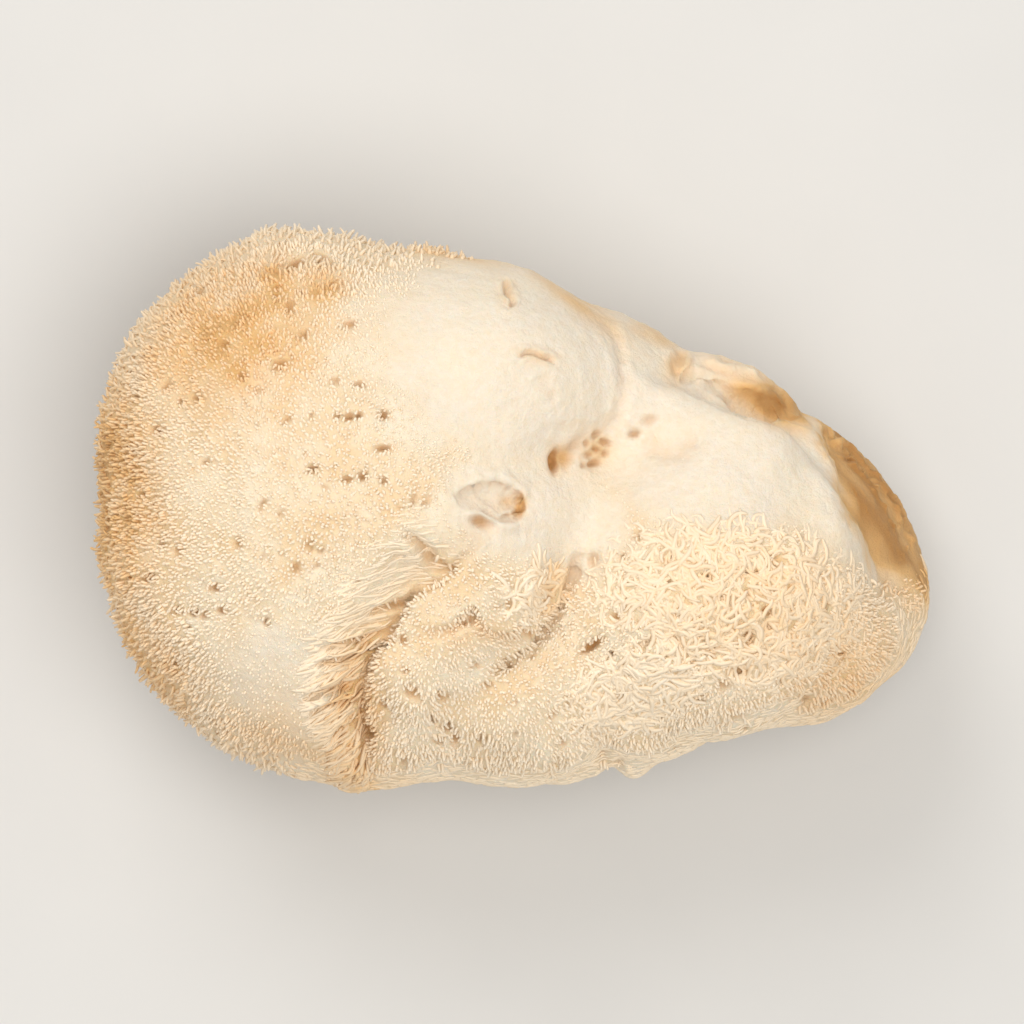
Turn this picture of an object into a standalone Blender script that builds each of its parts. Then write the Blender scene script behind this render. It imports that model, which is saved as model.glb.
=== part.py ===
"""A lion's mane mushroom: one lobed head with a mane of soft spines, on a flat cut foot.

Metres, +Z up.  The origin is on the cut that the mushroom rests on, under the middle of
the head.  Lobes, folds and spines are laid out in millimetres, seen from above, and the
finished head is brought to its exact length, width and height at the end.
"""

import math
import random
from typing import NamedTuple

import bmesh
import bpy
import numpy as np
from mathutils import Euler, Matrix, Vector

MM = 0.001

# Driving dimensions of the whole head, in millimetres.
LENGTH = 62.6
WIDTH = 42.1
HEIGHT = 37.0

# Surface of the head.
CELL = 1.95  # side of one cell of the fused skin; one spine stands on one cell
CELL_SLANT = (27.0, 34.0, 18.0)  # degrees that the grid of cells is turned, to hide its rows
CELL_SHIFT = 0.45  # most that a corner of a cell is moved along the skin, to hide them further
SMOOTHING_PASSES = 3

# Spines, in millimetres.
SPINE_SHORT = 0.8  # on the crown
SPINE_LONG = 3.2  # hanging on the flanks
SPINE_IN_FOLD = 0.3
HANG_STARTS = 0.3  # spines grow longer where the skin's normal rises less than this
HANG_FULL = -0.5  # and are longest where it points down by this much
FOLD_MARGIN = 1.6  # how far a fold keeps its spines short, in times its reach
SPINE_SPREAD = 0.4  # most that a tip leans at random, as a share of its length
SPINE_CLEARANCE = 0.6  # lowest that a tip hangs above the cut
SEED = 7

FLESH_COLOUR = (0.89, 0.76, 0.55, 1.0)
FLESH_ROUGHNESS = 0.75


class Lobe(NamedTuple):
    """One swelling of the head, an ellipsoid turned about Z."""

    name: str
    centre: tuple
    radii: tuple
    turn: float = 0.0


class Fold(NamedTuple):
    """A furrow pressed into the top of the head along a line seen from above."""

    name: str
    line: tuple
    reach: float
    depth: float


class Patch(NamedTuple):
    """A bare, felted area of the top, an ellipse seen from above."""

    centre: tuple
    radii: tuple
    turn: float = 0.0


LOBES = (
    Lobe("head", (-10.6, -1.0, 18.2), (20.2, 20.0, 18.0)),
    Lobe("head_shoulder", (-14.8, 3.8, 17.5), (16.2, 17.6, 16.4)),
    Lobe("upper_fold", (-2.4, 9.8, 20.0), (12.2, 9.6, 13.0), -20.0),
    Lobe("upper_saddle", (-8.2, 9.9, 18.6), (9.6, 10.6, 14.4), -12.0),
    Lobe("upper_slope", (6.0, 8.6, 16.6), (9.4, 7.2, 11.6), -24.0),
    Lobe("right_lobe", (13.2, -5.6, 19.0), (14.0, 12.0, 13.2)),
    Lobe("right_shelf", (14.6, 0.6, 21.2), (8.8, 7.0, 8.6), -8.0),
    Lobe("right_under", (21.2, -3.0, 12.0), (12.4, 9.2, 9.2), -57.0),
    Lobe("right_corner", (20.6, -9.6, 15.4), (9.4, 6.8, 10.0), 10.0),
    Lobe("lower_lobe", (-0.4, -12.2, 18.0), (11.0, 8.6, 12.4)),
    Lobe("lower_frill", (8.6, -12.8, 15.6), (8.4, 6.8, 10.4)),
    Lobe("middle_wedge", (-0.6, -5.2, 20.0), (6.8, 4.4, 12.2), 36.0),
    Lobe("ear_inner", (14.8, 10.4, 18.8), (2.8, 2.0, 3.0), -20.0),
    Lobe("ear_middle", (17.4, 9.8, 18.2), (2.9, 2.0, 2.8), -28.0),
    Lobe("ear_outer", (19.8, 8.5, 17.0), (2.7, 1.7, 2.4), -40.0),
    Lobe("ear_root", (14.6, 6.2, 14.6), (6.6, 5.4, 7.0), -24.0),
    Lobe("foot", (-4.0, -0.8, 5.0), (13.4, 10.6, 8.6)),
    Lobe("left_underside", (-13.5, -2.5, 9.0), (11.5, 11.0, 7.0)),
    Lobe("right_underside", (8.5, -4.5, 10.0), (10.0, 9.0, 6.6)),
)

FOLDS = (
    Fold(
        "head_crease",
        (
            (-2.8, -3.0),
            (-4.9, -4.7),
            (-7.1, -6.3),
            (-8.5, -8.3),
            (-10.2, -10.7),
            (-10.9, -13.2),
            (-10.7, -15.8),
            (-10.3, -19.2),
        ),
        reach=1.9,
        depth=3.0,
    ),
    Fold(
        "lobe_crease",
        ((4.9, -2.8), (4.3, -4.9), (3.5, -7.1), (2.5, -8.8), (0.8, -10.3), (-1.4, -11.6)),
        reach=1.5,
        depth=1.6,
    ),
    Fold(
        "upper_valley",
        ((7.4, 4.8), (3.6, 3.8), (0.5, 3.4), (-2.7, 3.9), (-5.8, 5.6)),
        reach=1.9,
        depth=1.1,
    ),
    Fold("upper_edge", ((9.6, 13.5), (9.2, 10.0), (8.2, 7.0), (6.0, 4.8)), reach=1.8, depth=0.9),
    Fold(
        "ear_crease",
        ((10.6, 11.2), (12.4, 9.7), (15.0, 8.7), (17.6, 7.7), (20.6, 7.6)),
        reach=1.2,
        depth=1.4,
    ),
    Fold("bottom_notch", ((6.6, -21.0), (6.2, -18.0), (5.2, -15.6)), reach=1.3, depth=1.2),
)

# An edge in the top: outside it, seen from above, the skin drops by the depth, and it is back
# at its own height beyond the reach.
RIGHT_EDGE = Fold(
    "right_edge",
    (
        (21.6, 8.2),
        (22.4, 7.0),
        (22.1, 5.2),
        (22.6, 3.2),
        (23.7, 1.5),
        (24.2, -0.2),
        (25.6, -1.4),
        (26.8, -3.6),
        (27.6, -6.6),
    ),
    reach=4.6,
    depth=2.0,
)
EDGE_RUN = 1.0  # width of the drop

BARE_PATCHES = (
    Patch((0.6, 0.4), (5.4, 3.4), -10.0),
    Patch((4.8, -1.6), (4.0, 2.8), 30.0),
    Patch((1.8, 10.6), (11.8, 8.6), -22.0),
    Patch((9.4, 12.0), (9.0, 6.0), -28.0),
    Patch((14.2, 4.2), (9.6, 5.8), -14.0),
    Patch((17.8, 9.2), (9.4, 6.8), -30.0),
    Patch((27.0, 2.4), (9.2, 6.8), -57.0),
)
PATCH_HEIGHT = 8.0  # the felted patches end at this height, where the hanging mane begins
BARE_BELOW = -0.55  # the skin is bare where its normal points further down than this
FOOT_HEIGHT = 5.0  # and all over the foot, up to this height


def clear_scene():
    for thing in list(bpy.data.objects):
        bpy.data.objects.remove(thing, do_unlink=True)


def make_flesh_material():
    material = bpy.data.materials.new("mushroom_flesh")
    material.use_nodes = True
    shader = material.node_tree.nodes["Principled BSDF"]
    shader.inputs["Base Color"].default_value = FLESH_COLOUR
    shader.inputs["Roughness"].default_value = FLESH_ROUGHNESS
    shader.inputs["Metallic"].default_value = 0.0
    return material


def fuse_lobes():
    """One skin over all the lobes, made of even cells on a slanted grid."""
    slant = Euler([math.radians(angle) for angle in CELL_SLANT]).to_matrix().to_4x4()
    shape = bmesh.new()
    for lobe in LOBES:
        turn = Matrix.Rotation(math.radians(lobe.turn), 4, "Z")
        place = Matrix.Translation(lobe.centre) @ turn @ Matrix.Diagonal((*lobe.radii, 1.0))
        bmesh.ops.create_icosphere(shape, subdivisions=4, radius=1.0, matrix=slant @ place)
    mesh = bpy.data.meshes.new("lobes")
    shape.to_mesh(mesh)
    shape.free()
    lobes = bpy.data.objects.new("lobes", mesh)
    bpy.context.scene.collection.objects.link(lobes)
    remesh = lobes.modifiers.new("fuse", "REMESH")
    remesh.mode = "VOXEL"
    remesh.voxel_size = CELL
    smooth = lobes.modifiers.new("soften", "SMOOTH")
    smooth.factor = 0.5
    smooth.iterations = SMOOTHING_PASSES
    graph = bpy.context.evaluated_depsgraph_get()
    skin = bpy.data.meshes.new_from_object(lobes.evaluated_get(graph))
    skin.transform(slant.inverted())
    bpy.data.objects.remove(lobes, do_unlink=True)
    return skin


def distance_to_line(points, line):
    """Distance of each point to a line, seen from above: positive on the left of the line."""
    nearest = np.full(len(points), np.inf)
    corners = np.array(line)
    for start, end in zip(corners[:-1], corners[1:]):
        along = end - start
        away = points[:, :2] - start
        share = np.clip(away @ along / (along @ along), 0.0, 1.0)
        gap = np.linalg.norm(away - share[:, None] * along, axis=1)
        side = np.where(away @ (-along[1], along[0]) < 0.0, -1.0, 1.0)
        nearest = np.where(gap < np.abs(nearest), gap * side, nearest)
    return nearest


def read_skin(skin):
    """Corners of the skin and the normals there, one row each."""
    count = len(skin.vertices)
    points = np.empty(count * 3)
    normals = np.empty(count * 3)
    skin.vertices.foreach_get("co", points)
    skin.vertex_normals.foreach_get("vector", normals)
    return points.reshape(-1, 3), normals.reshape(-1, 3)


def write_skin(skin, points):
    skin.vertices.foreach_set("co", points.ravel())
    skin.update()


def unsettle_cells(skin):
    """Shifts the corners of the cells along the skin, so that no rows of spines show."""
    points, normals = read_skin(skin)
    shift = np.random.default_rng(SEED).uniform(-CELL_SHIFT, CELL_SHIFT, points.shape)
    shift -= normals * (shift * normals).sum(axis=1, keepdims=True)
    write_skin(skin, points + shift)


def press_folds(skin):
    """Pushes the top of the skin inwards along each fold and outside the right edge."""
    points, normals = read_skin(skin)
    push = np.zeros(len(points))
    for fold in FOLDS:
        share = np.exp(-((distance_to_line(points, fold.line) / fold.reach) ** 2))
        push = np.maximum(push, fold.depth * share)
    outside = distance_to_line(points, RIGHT_EDGE.line)
    drop = np.clip(outside / EDGE_RUN + 0.5, 0.0, 1.0)
    back = np.exp(-((np.maximum(outside, 0.0) / RIGHT_EDGE.reach) ** 2))
    push = np.maximum(push, RIGHT_EDGE.depth * drop * back)
    facing_up = np.clip(normals[:, 2] * 2.5, 0.0, 1.0)
    write_skin(skin, points - normals * (push * facing_up)[:, None])


def cut_foot_flat(head):
    """Cuts the foot off at the height of the origin and closes the cut."""
    everything = head.verts[:] + head.edges[:] + head.faces[:]
    cut = bmesh.ops.bisect_plane(
        head, geom=everything, plane_co=(0.0, 0.0, 0.0), plane_no=(0.0, 0.0, 1.0), clear_inner=True
    )
    rim = [item for item in cut["geom_cut"] if isinstance(item, bmesh.types.BMEdge)]
    bmesh.ops.holes_fill(head, edges=rim)
    bmesh.ops.recalc_face_normals(head, faces=head.faces[:])


def is_bare(point):
    """Whether a point lies in one of the felted patches, seen from above."""
    for patch in BARE_PATCHES:
        turned = Matrix.Rotation(-math.radians(patch.turn), 2) @ (point.xy - Vector(patch.centre))
        if (turned.x / patch.radii[0]) ** 2 + (turned.y / patch.radii[1]) ** 2 < 1.0:
            return True
    return False


def spine_length(centre, normal):
    """Length of the spine on a cell: none on bare skin, longest where the flanks hang."""
    if centre.z < FOOT_HEIGHT or normal.z < BARE_BELOW:
        return 0.0
    if centre.z > PATCH_HEIGHT and is_bare(centre):
        return 0.0
    hang = min(1.0, max(0.0, (HANG_STARTS - normal.z) / (HANG_STARTS - HANG_FULL)))
    length = SPINE_SHORT + (SPINE_LONG - SPINE_SHORT) * hang
    for fold in FOLDS:
        gap = abs(distance_to_line(np.array([centre]), fold.line)[0])
        if normal.z > 0.0 and gap < FOLD_MARGIN * fold.reach:
            length = min(length, SPINE_IN_FOLD)
    return length


def grow_spines(head):
    """Raises a pointed spine on each cell of the mane, leaning down as it would hang."""
    chance = random.Random(SEED)
    head.normal_update()
    grown = {}
    for face in head.faces:
        centre = face.calc_center_median()
        length = spine_length(centre, face.normal) if len(face.verts) == 4 else 0.0
        if length > 0.0:
            grown[face] = (centre, face.normal.copy(), length * chance.uniform(0.75, 1.15))
    for face, (centre, normal, length) in grown.items():
        lean = Vector([chance.uniform(-SPINE_SPREAD, SPINE_SPREAD) for _ in range(3)])
        droop = Vector((0.0, 0.0, -1.2)) * min(1.0, max(0.0, 0.8 - normal.z))
        tip = centre + (0.8 * normal + droop + lean).normalized() * length
        tip.z = max(tip.z, SPINE_CLEARANCE)
        poked = bmesh.ops.poke(head, faces=[face])
        poked["verts"][0].co = tip


def bring_to_size(head):
    """Scales the head to its exact box, with the cut staying at the height of the origin."""
    corners = np.array([vert.co for vert in head.verts])
    low = corners.min(axis=0)
    high = corners.max(axis=0)
    scale = np.array((LENGTH, WIDTH, HEIGHT)) / (high - low)
    middle = (low + high) / 2
    middle[2] = low[2]
    for vert in head.verts:
        vert.co = Vector((np.array(vert.co) - middle) * scale * MM)


def make_mushroom():
    skin = fuse_lobes()
    unsettle_cells(skin)
    press_folds(skin)
    head = bmesh.new()
    head.from_mesh(skin)
    cut_foot_flat(head)
    grow_spines(head)
    bring_to_size(head)
    head.to_mesh(skin)
    head.free()
    skin.name = "lions_mane"
    skin.materials.clear()
    skin.materials.append(make_flesh_material())
    mushroom = bpy.data.objects.new("lions_mane", skin)
    bpy.context.scene.collection.objects.link(mushroom)


clear_scene()
make_mushroom()
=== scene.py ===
"""Finish of a lion's mane mushroom: felted flesh with folds, and a mane of soft spines.

The file is laid out as an add-on: settings, one operator for each group of spines, and
a panel.  Shapes are laid out in millimetres, seen from above, and made in metres.
"""

import math
from typing import NamedTuple

import bmesh
import bpy
import numpy as np
from bpy.props import FloatProperty, FloatVectorProperty, IntProperty, PointerProperty
from mathutils import Matrix, Vector, noise
from mathutils.bvhtree import BVHTree
from mathutils.kdtree import KDTree


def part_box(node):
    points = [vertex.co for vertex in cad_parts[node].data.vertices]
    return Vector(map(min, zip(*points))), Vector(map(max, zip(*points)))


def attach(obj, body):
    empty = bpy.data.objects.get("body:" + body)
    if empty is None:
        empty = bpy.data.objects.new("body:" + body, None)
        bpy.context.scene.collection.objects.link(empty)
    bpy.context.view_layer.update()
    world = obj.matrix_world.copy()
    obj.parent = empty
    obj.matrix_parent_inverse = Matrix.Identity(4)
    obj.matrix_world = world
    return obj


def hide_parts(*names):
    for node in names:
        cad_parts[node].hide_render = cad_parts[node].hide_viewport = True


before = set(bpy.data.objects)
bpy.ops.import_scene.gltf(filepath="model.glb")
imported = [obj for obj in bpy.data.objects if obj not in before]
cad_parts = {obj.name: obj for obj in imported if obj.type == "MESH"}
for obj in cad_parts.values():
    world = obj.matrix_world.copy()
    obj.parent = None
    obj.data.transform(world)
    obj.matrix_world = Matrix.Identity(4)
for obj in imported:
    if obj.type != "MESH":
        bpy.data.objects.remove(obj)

bl_info = {
    "name": "Lion's Mane Mushroom",
    "version": (1, 0, 0),
    "blender": (4, 5, 0),
    "location": "View3D > Sidebar > Mushroom",
    "description": "Grows the flesh and the spines of a lion's mane mushroom",
    "category": "Object",
}

MM = 0.001
NODE = "lions_mane"
BODY = "root"

CAD_LOW, CAD_HIGH = (np.array(corner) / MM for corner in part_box(NODE))

# Room left inside the solid's box for the spines that stand on the flesh, in millimetres.
MANE_ROOM_LOW = np.array((1.1, 1.0, 0.0))
MANE_ROOM_HIGH = np.array((0.9, 0.8, 0.7))


class Lobe(NamedTuple):
    """One swelling of the head, an ellipsoid turned about Z."""

    name: str
    centre: tuple
    radii: tuple
    turn: float = 0.0


class Fold(NamedTuple):
    """A furrow in the top along a smooth line seen from above, or a ridge if its depth is negative."""

    name: str
    line: tuple
    reach: float
    depth: float
    lip: float = 0.0


class Bulge(NamedTuple):
    """A swelling of the finished skin, an ellipsoid inside which the skin rises."""

    name: str
    centre: tuple
    radii: tuple
    height: float


class Ledge(NamedTuple):
    """A step in the top: left of the line, seen from above, the skin drops over a short run.

    Further away than its reach the skin is back at its own height.
    """

    name: str
    line: tuple
    reach: float
    depth: float
    run: float = 0.5


class Patch(NamedTuple):
    """An area of the top, a turned ellipse seen from above."""

    centre: tuple
    radii: tuple
    turn: float = 0.0
    strength: float = 1.0


class Hollow(NamedTuple):
    """A small pit in the top: where it is, its half-length and half-width, and its depth.

    Its shade is how much painted shade, in brown, it gets for its depth.
    """

    centre: tuple
    radii: tuple
    depth: float
    turn: float = 0.0
    shade: float = 1.0


class Seeds(NamedTuple):
    """What the random choices of one kind of spine start from."""

    size: int
    place: int
    path: int
    tone: int


class Kind(NamedTuple):
    """A kind of spine: its material, the steps of its path and how much it turns at random.

    Its tip is a share of its full width, and a blunter one keeps that width further along.
    """

    material: str
    steps: int
    curl: float
    tip: float
    seeds: Seeds
    bluntness: float = 1.8


LOBES = (
    Lobe("head", (-10.6, -1.0, 18.2), (20.2, 20.0, 18.0)),
    Lobe("head_shoulder", (-14.8, 3.8, 17.5), (16.2, 17.6, 16.4)),
    Lobe("upper_fold", (-2.4, 9.8, 20.0), (12.2, 9.6, 13.0), -20.0),
    Lobe("upper_saddle", (-8.2, 9.9, 18.6), (9.6, 10.6, 14.4), -12.0),
    Lobe("upper_slope", (6.0, 8.6, 16.6), (9.4, 7.2, 11.6), -24.0),
    Lobe("right_lobe", (13.2, -5.6, 19.0), (14.0, 12.0, 13.2)),
    Lobe("right_shelf", (14.6, 0.6, 21.2), (8.8, 7.0, 8.6), -8.0),
    Lobe("right_under", (21.2, -3.0, 12.0), (12.4, 9.2, 9.2), -57.0),
    Lobe("right_corner", (20.6, -9.6, 15.4), (9.4, 6.8, 10.0), 10.0),
    Lobe("lower_lobe", (-0.4, -12.2, 18.0), (11.0, 8.6, 12.4)),
    Lobe("lower_frill", (8.6, -12.8, 15.6), (8.4, 6.8, 10.4)),
    Lobe("middle_wedge", (-0.6, -5.2, 20.0), (6.8, 4.4, 12.2), 36.0),
    Lobe("ear_inner", (14.8, 10.4, 18.8), (2.8, 2.0, 3.0), -20.0),
    Lobe("ear_middle", (17.4, 9.8, 18.2), (2.9, 2.0, 2.8), -28.0),
    Lobe("ear_outer", (19.8, 8.5, 17.0), (2.7, 1.7, 2.4), -40.0),
    Lobe("ear_root", (14.6, 6.2, 14.6), (6.6, 5.4, 7.0), -24.0),
    Lobe("foot", (-4.0, -0.8, 5.0), (13.4, 10.6, 8.6)),
    Lobe("left_underside", (-13.5, -2.5, 9.0), (11.5, 11.0, 7.0)),
    Lobe("right_underside", (8.5, -4.5, 10.0), (10.0, 9.0, 6.6)),
)

HEAD_CREASE = (
    (-2.8, -3.0), (-4.9, -4.7), (-7.1, -6.3), (-8.5, -8.3),
    (-10.2, -10.7), (-10.9, -13.2), (-10.7, -15.8), (-10.3, -19.2),
)
LOBE_EDGE = ((-9.6, -18.4), (-10.2, -14.6), (-9.9, -10.8), (-8.0, -8.0), (-6.5, -5.6), (-4.0, -4.3))
LOBE_WRINKLE = ((-6.6, -9.1), (-4.4, -8.5), (-3.1, -7.6), (-1.8, -8.8), (-0.4, -9.1), (1.2, -9.5))
EYELID = ((1.1, 0.0), (0.7, 1.1), (-0.4, 1.75), (-1.5, 2.0), (-2.75, 1.85), (-4.1, 1.5))
EYE_UNDER = ((1.0, -0.1), (0.3, -0.55), (-0.6, -0.6), (-1.5, -0.2), (-2.4, 0.1))
UPPER_RIM = ((6.4, 14.6), (7.6, 12.6), (8.2, 10.4), (8.1, 8.4), (7.3, 6.6), (6.0, 5.6))
SHELF_EDGE = ((12.4, 9.4), (14.3, 8.9), (15.5, 8.1), (16.7, 6.9), (19.5, 6.7), (22.3, 7.3))
SHELF_BRIM = ((18.6, 6.6), (21.0, 6.4), (22.3, 5.2), (22.9, 3.2), (23.4, 0.8), (24.3, -1.6), (25.5, -4.0))
RIGHT_EDGE = (
    (21.6, 8.0), (22.6, 7.2), (23.0, 5.7), (23.8, 3.5),
    (24.1, 1.8), (24.6, 0.3), (25.5, -1.0), (26.6, -3.4),
    (27.4, -6.4),
)
LOBE_CREASE = ((4.9, -2.8), (4.3, -4.9), (3.5, -7.1), (2.5, -8.8), (0.8, -10.3), (-1.4, -11.6))

BROAD_FOLDS = (
    Fold("head_crease", HEAD_CREASE, 2.2, 1.5, 0.2),
    Fold("comb_dip", ((-5.0, -3.8), (-8.6, -6.4), (-11.0, -9.6), (-12.4, -14.0)), 3.4, 1.1),
    Fold("lobe_crease", LOBE_CREASE, 1.3, 0.6, 0.15),
    Fold("upper_valley", ((7.4, 4.8), (3.6, 3.8), (0.5, 3.4), (-2.7, 3.9), (-5.8, 5.6)), 1.9, 0.7),
    Fold("upper_edge", ((9.6, 13.5), (9.2, 10.0), (8.2, 7.0), (6.0, 4.8)), 1.8, 0.7),
    Fold("ear_crease", ((10.6, 11.2), (12.4, 9.7), (15.0, 8.7), (17.6, 7.7), (20.6, 7.6)), 1.0, 1.2),
    Fold("bottom_notch", ((7.5, -21.0), (7.3, -18.6), (6.2, -16.0)), 1.0, 1.0),
    Fold("shelf_fill", ((10.4, 8.8), (13.3, 7.6), (15.8, 6.6), (18.9, 5.6), (22.1, 3.6)), 1.7, -1.4),
    Fold("shelf_brim", SHELF_BRIM, 1.4, -1.1),
    Fold("frill_lip", ((1.6, -18.6), (4.6, -18.0), (8.6, -17.8), (12.0, -16.8)), 1.0, -0.45),
)

LEDGES = (
    Ledge("lobe_edge", LOBE_EDGE, 2.8, 0.75, 0.4),
    Ledge("lobe_lip", LOBE_CREASE, 2.4, 0.5, 0.4),
    Ledge("shelf_edge", SHELF_EDGE, 2.4, 1.1, 0.4),
    Ledge("eyelid", EYELID, 1.2, 0.7, 0.3),
    Ledge("right_edge", RIGHT_EDGE, 4.4, 1.1, 1.4),
)

BULGES = (
    Bulge("frill_left", (4.8, -19.4, 14.5), (2.3, 1.9, 3.4), 1.0),
    Bulge("frill_right", (9.0, -18.8, 13.5), (1.3, 1.7, 3.0), 1.0),
    Bulge("frill_notch", (7.2, -19.8, 14.0), (0.7, 1.7, 3.4), -1.2),
    Bulge("top_shoulder", (-17.4, 19.6, 17.0), (2.4, 2.0, 5.0), 0.5),
)

FINE_FOLDS = (
    Fold("head_crease_floor", HEAD_CREASE, 0.4, 0.6, 0.1),
    Fold("lobe_crease_floor", LOBE_CREASE, 0.35, 0.7, 0.1),
    Fold("lobe_wrinkle", LOBE_WRINKLE, 0.4, 0.35, 0.15),
    Fold("eyelid_line", ((-4.0, 1.45), (-2.75, 1.8), (-1.5, 1.95), (-0.4, 1.7), (0.6, 1.1)), 0.18, 0.55),
    Fold("eye_under_line", EYE_UNDER, 0.2, 0.5),
    Fold("eye_rim_upper", ((-3.6, 2.2), (-1.5, 2.6), (0.2, 2.2), (1.3, 1.2)), 0.4, -0.22),
    Fold("eye_rim_lower", ((-3.6, 0.1), (-2.0, -0.3), (-0.6, -0.9), (0.7, -0.7)), 0.4, -0.28),
    Fold("tooth_1", ((-7.8, -1.6), (-6.9, -2.2), (-5.4, -3.7), (-4.0, -4.3)), 0.4, 0.8, 0.2),
    Fold("tooth_2", ((-10.1, -7.2), (-8.5, -6.7), (-6.6, -6.0)), 0.32, 0.9, 0.2),
    Fold("tooth_3", ((-13.6, -9.9), (-11.3, -9.3), (-9.3, -8.7), (-8.0, -8.2)), 0.26, 0.6, 0.2),
    Fold("tooth_4", ((-14.1, -11.2), (-11.6, -10.3), (-9.3, -9.6), (-8.6, -9.2)), 0.26, 0.8, 0.2),
    Fold("tooth_5", ((-15.1, -13.7), (-13.5, -12.9), (-12.2, -12.3), (-10.4, -12.0)), 0.3, 0.9, 0.2),
    Fold("tooth_6", ((-14.7, -15.1), (-13.7, -14.2), (-12.4, -13.5), (-10.8, -13.6)), 0.3, 0.8, 0.2),
    Fold("tooth_7", ((-13.0, -16.7), (-12.2, -15.5), (-10.8, -14.8)), 0.3, 0.8, 0.2),
    Fold("tooth_8", ((-11.4, -19.0), (-11.2, -17.6), (-10.6, -16.4)), 0.3, 0.8, 0.2),
    Fold("long_groove", ((11.3, -7.6), (12.0, -9.4), (13.4, -11.2)), 0.4, 0.4, 0.1),
    Fold("upper_mark", ((-0.5, 16.8), (-0.4, 16.0), (0.0, 15.4), (-0.2, 14.8)), 0.22, 0.45, 0.2),
    Fold("upper_wrinkle", ((0.5, 11.4), (1.8, 11.5), (3.1, 10.9)), 0.18, 0.45, 0.2),
    Fold("upper_dimple", ((2.0, 10.0), (2.6, 9.0), (3.0, 7.8)), 0.5, 0.2),
    Fold("upper_rim", UPPER_RIM, 0.45, 0.28, 0.05),
    Fold("notch_line", ((12.3, 11.8), (12.0, 10.8), (12.4, 9.8)), 0.4, 0.4, 0.1),
    Fold("ear_wrinkle", ((13.4, 11.0), (15.6, 10.2), (18.0, 9.6), (20.2, 8.4)), 0.3, 0.3, 0.12),
    Fold("ear_crimp_inner", ((14.6, 12.4), (15.4, 11.5), (16.2, 11.1)), 0.35, 0.25, 0.1),
    Fold("ear_crimp_outer", ((18.0, 11.0), (18.3, 10.1), (19.2, 9.5)), 0.35, 0.25, 0.1),
    Fold("ear_ridge", ((13.2, 10.6), (15.2, 10.5), (17.4, 9.7), (19.4, 8.7)), 0.5, -0.25),
    Fold("flank_dent", ((25.0, 5.0), (26.2, 2.8), (27.8, 0.2), (29.2, -1.8)), 0.9, 0.25),
    Fold("lobe_shoulder", ((9.4, 4.9), (11.6, 4.4), (13.4, 5.4)), 0.8, 0.35),
    Fold("rim_scallop", ((3.2, -20.8), (3.0, -19.2), (3.6, -17.6)), 0.4, 0.5, 0.15),
    Fold("rim_notch", ((7.7, -21.0), (7.4, -19.6), (7.6, -18.2)), 0.4, 1.0, 0.2),
)

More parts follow.
